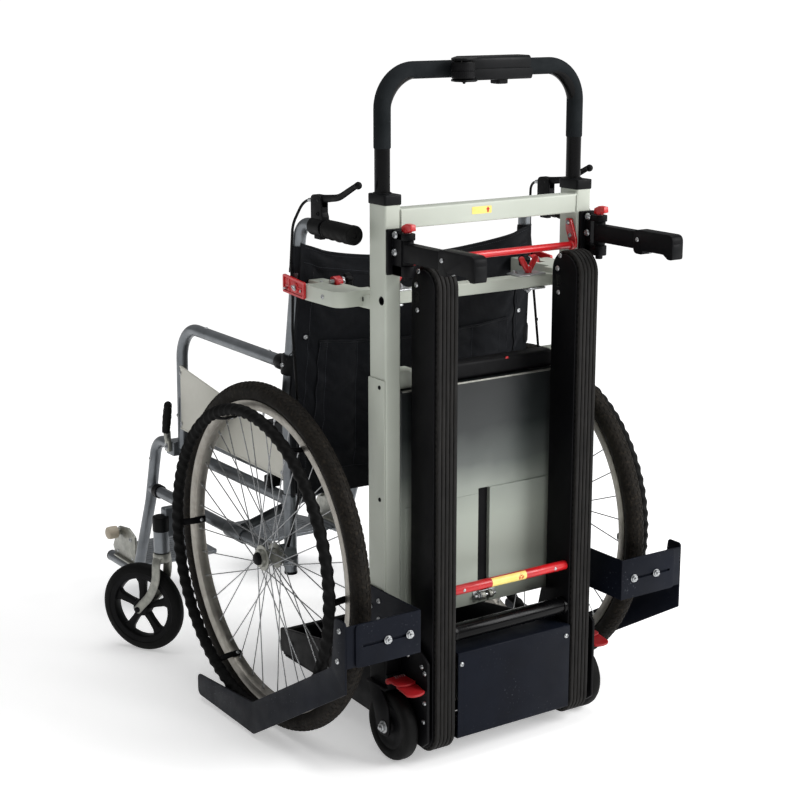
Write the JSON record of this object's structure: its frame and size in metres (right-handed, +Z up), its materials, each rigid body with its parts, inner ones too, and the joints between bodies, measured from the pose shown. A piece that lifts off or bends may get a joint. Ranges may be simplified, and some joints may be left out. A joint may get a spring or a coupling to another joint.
{
  "type": "stair chair",
  "caption": "Tracked battery stair-climbing carrier with a folding wheelchair clamped to its mast: push handle, lifting handles, swing-out crawler tracks, wheels, brakes and footplates.",
  "frame": {"origin": "on the floor under the middle of the bounding box", "axes": "+Y the way the sitter faces (carrier at -Y), +X to the sitter's right, +Z up"},
  "size_m": [0.7528, 1.252, 1.153],
  "materials": {
    "grey_paint": "satin light grey-green paint",
    "black_powder_coat": "satin black powder coat",
    "navy_black_coat": "satin blue-black powder coat",
    "black_plastic": "matt moulded",
    "black_rubber": "matt moulded",
    "red_paint": "gloss red",
    "dark_red_plastic": "satin moulded",
    "silver_tube": "silver-grey metallic",
    "bright_steel": "bright",
    "black_nylon": "woven nylon"
  },
  "bodies": {
    "carrier_frame": {"upright_left": "grey_paint", "upright_right": "grey_paint", "top_crossbar": "grey_paint", "crossbar_pad": "black_plastic", "battery_housing": "grey_paint", "clamp_bar": "grey_paint", "handle_bracket_left": "black_powder_coat", "handle_bracket_right": "black_powder_coat", "drive_cover": "navy_black_coat", "drive_motor": "bright_steel", "base_chassis": "black_powder_coat", "wheel_bracket_left": "navy_black_coat", "wheel_bracket_right": "navy_black_coat", "chair_frame_left": "silver_tube", "chair_frame_right": "silver_tube", "cross_brace": "silver_tube", "seat_sling": "black_nylon", "back_sling": "black_nylon"},
    "push_handle": {"handle_bar": "black_plastic", "control_box": "black_plastic"},
    "crawler": {"track_rail_left": "black_powder_coat", "track_rail_right": "black_powder_coat", "track_belt_left": "black_rubber", "track_belt_right": "black_rubber", "push_bar": "red_paint", "cross_tube": "black_powder_coat"},
    "speed_dial": {"speed_dial": "black_plastic"},
    "run_button": {"run_button": "black_plastic"},
    "clamp_knob_left": {"clamp_knob_left": "black_plastic"},
    "clamp_knob_right": {"clamp_knob_right": "black_plastic"},
    "track_idler_left": {"track_idler_left": "black_plastic"},
    "track_idler_right": {"track_idler_right": "black_plastic"},
    "hand_brake_left": {"hand_brake_left": "black_plastic"},
    "hand_brake_right": {"hand_brake_right": "black_plastic"},
    "parking_brake_left": {"parking_brake_left": "black_plastic"},
    "parking_brake_right": {"parking_brake_right": "black_plastic"},
    "lifting_handle_left": {"lifting_handle_left": "black_powder_coat"},
    "lifting_handle_right": {"lifting_handle_right": "black_powder_coat"},
    "side_plate_left": {"side_plate_left": "navy_black_coat"},
    "side_plate_right": {"side_plate_right": "navy_black_coat"},
    "carrier_wheel_left": {"carrier_wheel_left": "black_rubber"},
    "carrier_wheel_right": {"carrier_wheel_right": "black_rubber"},
    "drive_wheel_left": {"drive_wheel_left": "black_rubber"},
    "drive_wheel_right": {"drive_wheel_right": "black_rubber"},
    "caster_wheel_left": {"caster_wheel_left": "black_rubber"},
    "caster_wheel_right": {"caster_wheel_right": "black_rubber"},
    "clamp_jaw_left": {"clamp_jaw_left": "red_paint"},
    "clamp_jaw_right": {"clamp_jaw_right": "red_paint"},
    "wing_screw_left": {"wing_screw_left": "red_paint"},
    "wing_screw_right": {"wing_screw_right": "red_paint"},
    "lock_lever_left": {"lock_lever_left": "red_paint"},
    "lock_lever_right": {"lock_lever_right": "red_paint"},
    "release_bar": {"release_bar": "red_paint"},
    "brake_pedal_left": {"brake_pedal_left": "dark_red_plastic"},
    "brake_pedal_right": {"brake_pedal_right": "dark_red_plastic"},
    "caster_fork_left": {"caster_fork_left": "silver_tube"},
    "caster_fork_right": {"caster_fork_right": "silver_tube"},
    "footplate_left": {"footplate_left": "silver_tube"},
    "footplate_right": {"footplate_right": "silver_tube"},
    "drive_shaft": {"drive_shaft": "bright_steel"}
  },
  "joints": [
    {"name": "handle_height", "type": "slide", "parent": "carrier_frame", "child": "push_handle", "axis": [0, 0, 1], "range_m": [-0.055, 0.12]},
    {"name": "speed_dial_turn", "type": "hinge", "parent": "push_handle", "child": "speed_dial", "pos_m": [-0.066, -0.4115, 1.134], "axis": [0, 0, 1], "range_deg": [-135, 135]},
    {"name": "run_button_press", "type": "slide", "parent": "push_handle", "child": "run_button", "axis": [0, 0, 1], "range_m": [0, 0.0025], "stiffness_N_per_m": 400, "springref_m": -0.002},
    {"name": "lifting_handle_left_fold", "type": "hinge", "parent": "carrier_frame", "child": "lifting_handle_left", "pos_m": [-0.188, -0.436, 0.858], "axis": [0, 0, 1], "range_deg": [0, 90]},
    {"name": "lock_lever_left_turn", "type": "hinge", "parent": "carrier_frame", "child": "lock_lever_left", "pos_m": [-0.188, -0.436, 0.893], "axis": [0, 0, 1], "range_deg": [0, 40], "stiffness_Nm_per_rad": 0.2, "springref_deg": -11.46},
    {"name": "lifting_handle_right_fold", "type": "hinge", "parent": "carrier_frame", "child": "lifting_handle_right", "pos_m": [0.203, -0.436, 0.858], "axis": [0, 0, 1], "range_deg": [-90, 0]},
    {"name": "lock_lever_right_turn", "type": "hinge", "parent": "carrier_frame", "child": "lock_lever_right", "pos_m": [0.203, -0.436, 0.893], "axis": [0, 0, 1], "range_deg": [0, 40], "stiffness_Nm_per_rad": 0.2, "springref_deg": -11.46},
    {"name": "release_bar_pull", "type": "hinge", "parent": "carrier_frame", "child": "release_bar", "pos_m": [0, -0.389, 0.8705], "axis": [1, 0, 0], "range_deg": [-18, 0], "stiffness_Nm_per_rad": 1, "springref_deg": 11.46},
    {"name": "crawler_swing", "type": "hinge", "parent": "carrier_frame", "child": "crawler", "pos_m": [0, -0.4465, 0.0565], "axis": [1, 0, 0], "range_deg": [0, 38]},
    {"name": "track_drive", "type": "hinge", "parent": "carrier_frame", "child": "drive_shaft", "pos_m": [0, -0.4465, 0.0565], "axis": [1, 0, 0], "continuous": true},
    {"name": "track_idler_left_turn", "type": "hinge", "parent": "crawler", "child": "track_idler_left", "pos_m": [0, -0.4465, 0.7995], "axis": [1, 0, 0], "continuous": true},
    {"name": "track_idler_right_turn", "type": "hinge", "parent": "crawler", "child": "track_idler_right", "pos_m": [0, -0.4465, 0.7995], "axis": [1, 0, 0], "continuous": true},
    {"name": "clamp_jaw_left_open", "type": "slide", "parent": "carrier_frame", "child": "clamp_jaw_left", "axis": [-1, 0, 0], "range_m": [0, 0.03]},
    {"name": "clamp_knob_left_turn", "type": "hinge", "parent": "carrier_frame", "child": "clamp_knob_left", "pos_m": [-0.1975, -0.256, 0.79], "axis": [1, 0, 0], "continuous": true},
    {"name": "wing_screw_left_turn", "type": "hinge", "parent": "carrier_frame", "child": "wing_screw_left", "pos_m": [-0.14, -0.325, 0.7785], "axis": [0, 0, 1], "continuous": true},
    {"name": "side_plate_left_adjust", "type": "slide", "parent": "carrier_frame", "child": "side_plate_left", "axis": [-1, 0, 0], "range_m": [0, 0.04]},
    {"name": "carrier_wheel_left_roll", "type": "hinge", "parent": "carrier_frame", "child": "carrier_wheel_left", "pos_m": [-0.197, -0.408, 0.06], "axis": [1, 0, 0], "continuous": true},
    {"name": "brake_pedal_left_press", "type": "hinge", "parent": "carrier_frame", "child": "brake_pedal_left", "pos_m": [-0.197, -0.417, 0.1435], "axis": [1, 0, 0], "range_deg": [0, 10]},
    {"name": "drive_wheel_left_roll", "type": "hinge", "parent": "carrier_frame", "child": "drive_wheel_left", "pos_m": [-0.289, -0.1646, 0.305], "axis": [1, 0, 0], "continuous": true},
    {"name": "caster_left_swivel", "type": "hinge", "parent": "carrier_frame", "child": "caster_fork_left", "pos_m": [-0.3, 0.234, 0.205], "axis": [0, 0, 1], "continuous": true},
    {"name": "caster_wheel_left_roll", "type": "hinge", "parent": "caster_fork_left", "child": "caster_wheel_left", "pos_m": [-0.32365, 0.27229, 0.0875], "axis": [0.8508, 0.5255, 0], "continuous": true},
    {"name": "footplate_left_flip", "type": "hinge", "parent": "carrier_frame", "child": "footplate_left", "pos_m": [-0.2325, 0.52, 0.092], "axis": [0, 1, 0], "range_deg": [-85, 0]},
    {"name": "hand_brake_left_squeeze", "type": "hinge", "parent": "carrier_frame", "child": "hand_brake_left", "pos_m": [-0.235, -0.2582, 0.926], "axis": [1, 0, 0], "range_deg": [0, 20], "stiffness_Nm_per_rad": 0.8, "springref_deg": -20.05},
    {"name": "parking_brake_left_set", "type": "hinge", "parent": "carrier_frame", "child": "parking_brake_left", "pos_m": [-0.2734, 0.246, 0.405], "axis": [1, 0, 0], "range_deg": [-40, 0]},
    {"name": "clamp_jaw_right_open", "type": "slide", "parent": "carrier_frame", "child": "clamp_jaw_right", "axis": [1, 0, 0], "range_m": [0, 0.03]},
    {"name": "clamp_knob_right_turn", "type": "hinge", "parent": "carrier_frame", "child": "clamp_knob_right", "pos_m": [0.1975, -0.256, 0.79], "axis": [1, 0, 0], "continuous": true},
    {"name": "wing_screw_right_turn", "type": "hinge", "parent": "carrier_frame", "child": "wing_screw_right", "pos_m": [0.14, -0.325, 0.7785], "axis": [0, 0, 1], "continuous": true},
    {"name": "side_plate_right_adjust", "type": "slide", "parent": "carrier_frame", "child": "side_plate_right", "axis": [1, 0, 0], "range_m": [0, 0.04]},
    {"name": "carrier_wheel_right_roll", "type": "hinge", "parent": "carrier_frame", "child": "carrier_wheel_right", "pos_m": [0.197, -0.408, 0.06], "axis": [1, 0, 0], "continuous": true},
    {"name": "brake_pedal_right_press", "type": "hinge", "parent": "carrier_frame", "child": "brake_pedal_right", "pos_m": [0.197, -0.417, 0.1435], "axis": [1, 0, 0], "range_deg": [0, 10]},
    {"name": "drive_wheel_right_roll", "type": "hinge", "parent": "carrier_frame", "child": "drive_wheel_right", "pos_m": [0.289, -0.1646, 0.305], "axis": [1, 0, 0], "continuous": true},
    {"name": "caster_right_swivel", "type": "hinge", "parent": "carrier_frame", "child": "caster_fork_right", "pos_m": [0.3, 0.234, 0.205], "axis": [0, 0, 1], "continuous": true},
    {"name": "caster_wheel_right_roll", "type": "hinge", "parent": "caster_fork_right", "child": "caster_wheel_right", "pos_m": [0.32365, 0.27229, 0.0875], "axis": [0.8508, -0.5255, 0], "continuous": true},
    {"name": "footplate_right_flip", "type": "hinge", "parent": "carrier_frame", "child": "footplate_right", "pos_m": [0.2325, 0.52, 0.092], "axis": [0, 1, 0], "range_deg": [0, 85]},
    {"name": "hand_brake_right_squeeze", "type": "hinge", "parent": "carrier_frame", "child": "hand_brake_right", "pos_m": [0.235, -0.2582, 0.926], "axis": [1, 0, 0], "range_deg": [0, 20], "stiffness_Nm_per_rad": 0.8, "springref_deg": -20.05},
    {"name": "parking_brake_right_set", "type": "hinge", "parent": "carrier_frame", "child": "parking_brake_right", "pos_m": [0.2734, 0.246, 0.405], "axis": [1, 0, 0], "range_deg": [-40, 0]}
  ],
  "couplings": [
    {"joint": "track_idler_left_turn", "follows": "track_drive", "ratio": 1},
    {"joint": "track_idler_right_turn", "follows": "track_drive", "ratio": 1}
  ]
}
